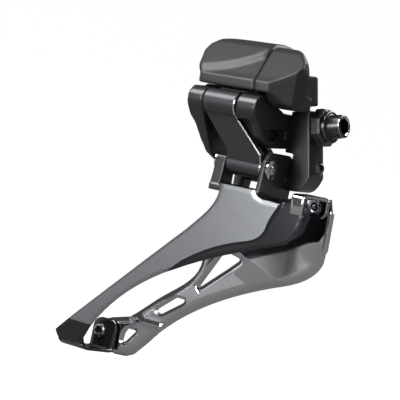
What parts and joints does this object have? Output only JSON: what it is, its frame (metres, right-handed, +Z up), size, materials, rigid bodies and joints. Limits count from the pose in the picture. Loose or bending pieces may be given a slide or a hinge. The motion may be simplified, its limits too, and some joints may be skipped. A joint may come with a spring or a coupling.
{
  "type": "front derailleur",
  "caption": "Motor-driven front derailleur: clamp block, motor housing, skewed parallelogram links and a two-plate chain cage that swings sideways.",
  "frame": {"origin": "axis of the clamp bolt on the contact face of the clamp block", "axes": "+X forward out of the contact face along the clamp bolt, +Y towards the bicycle frame, +Z up the seat tube"},
  "size_m": [0.1052, 0.0353, 0.1053],
  "materials": {
    "base": "satin black paint",
    "block": "satin black paint",
    "bolt": "dark satin plating",
    "washer": "dark satin",
    "steel": "bright",
    "chrome": "polished",
    "housing": "fine grained",
    "gasket": "plain",
    "link": "satin with bright cut edges",
    "inner_link": "satin",
    "outer_plate": "satin anodised grey",
    "inner_plate": "polished dark plating",
    "motor": "drawn can",
    "brass": "machined",
    "board": "solder mask",
    "black_plastic": "plain"
  },
  "bodies": {
    "base": {"base_bracket": "base", "clamp_block": "block", "block_screws": "bolt", "clamp_bolt": "bolt", "radius_washer": "washer", "wall_screw": "bolt", "upper_outer_pin": "steel", "upper_inner_pin": "steel", "motor_shell": "housing", "front_cover": "housing", "cover_gasket": "gasket", "cover_screws": "steel", "unit_screws": "steel", "motor_can": "motor", "idler_pin": "steel", "gear_plate": "steel", "shaft_bush": "brass", "shaft_seal": "gasket", "circuit_board": "board", "position_sensor": "black_plastic", "port_insert": "black_plastic", "contact_pins": "brass"},
    "outer_link": {"outer_link": "link"},
    "cage": {"carrier": "base", "lower_outer_pin": "chrome", "lower_inner_pin": "chrome", "retaining_rings": "chrome", "outer_cage_plate": "outer_plate", "inner_cage_plate": "inner_plate", "plate_rivets": "chrome", "flange_rivets": "chrome", "bridge_rivet": "chrome", "tail_rivet": "chrome"},
    "inner_link": {"inner_link": "inner_link", "horn_pin": "steel"},
    "output": {"output_gear": "brass", "output_shaft": "steel", "drive_arm": "steel", "arm_pin": "steel"},
    "drive_link": {"drive_link": "inner_link"},
    "idler": {"idler_gear": "brass"},
    "rotor": {"motor_rotor": "steel"},
    "support_bolt": {"support_bolt": "bolt"}
  },
  "joints": [
    {"name": "shift", "type": "hinge", "parent": "base", "child": "outer_link", "pos_m": [-0.02092, -0.0233, 0.00741], "axis": [-0.9781, 0, 0.2079], "range_deg": [0, 34]},
    {"name": "carrier_pivot", "type": "hinge", "parent": "outer_link", "child": "cage", "pos_m": [-0.01798, -0.01646, -0.01243], "axis": [-0.9781, 0, 0.2079], "range_deg": [-34, 0]},
    {"name": "inner_link_pivot", "type": "hinge", "parent": "base", "child": "inner_link", "pos_m": [-0.02148, -0.0115, 0.00477], "axis": [-0.9781, 0, 0.2079], "range_deg": [0, 34]},
    {"name": "drive_arm_turn", "type": "hinge", "parent": "base", "child": "output", "pos_m": [-0.01623, -0.005, 0.01838], "axis": [-0.9781, 0, 0.2079], "range_deg": [0, 34]},
    {"name": "drive_link_pivot", "type": "hinge", "parent": "output", "child": "drive_link", "pos_m": [-0.01909, 0.00198, 0.01842], "axis": [-0.9781, 0, 0.2079], "range_deg": [-34, 0]},
    {"name": "idler_spin", "type": "hinge", "parent": "base", "child": "idler", "pos_m": [-0.00993, -0.00937, 0.02061], "axis": [-0.9781, 0, 0.2079], "range_deg": [-102, 0]},
    {"name": "motor_spin", "type": "hinge", "parent": "base", "child": "rotor", "pos_m": [-0.02129, -0.0132, 0.02007], "axis": [-0.9781, 0, 0.2079], "range_deg": [0, 306]},
    {"name": "support_bolt_travel", "type": "slide", "parent": "base", "child": "support_bolt", "axis": [-0.7431, 0.6691, 0], "range_m": [0, 0.004]}
  ],
  "couplings": [
    {"joint": "carrier_pivot", "follows": "shift", "ratio": -1},
    {"joint": "inner_link_pivot", "follows": "shift", "ratio": 1},
    {"joint": "drive_arm_turn", "follows": "shift", "ratio": 1},
    {"joint": "drive_link_pivot", "follows": "shift", "ratio": -1},
    {"joint": "idler_spin", "follows": "shift", "ratio": -3},
    {"joint": "motor_spin", "follows": "shift", "ratio": 9}
  ]
}
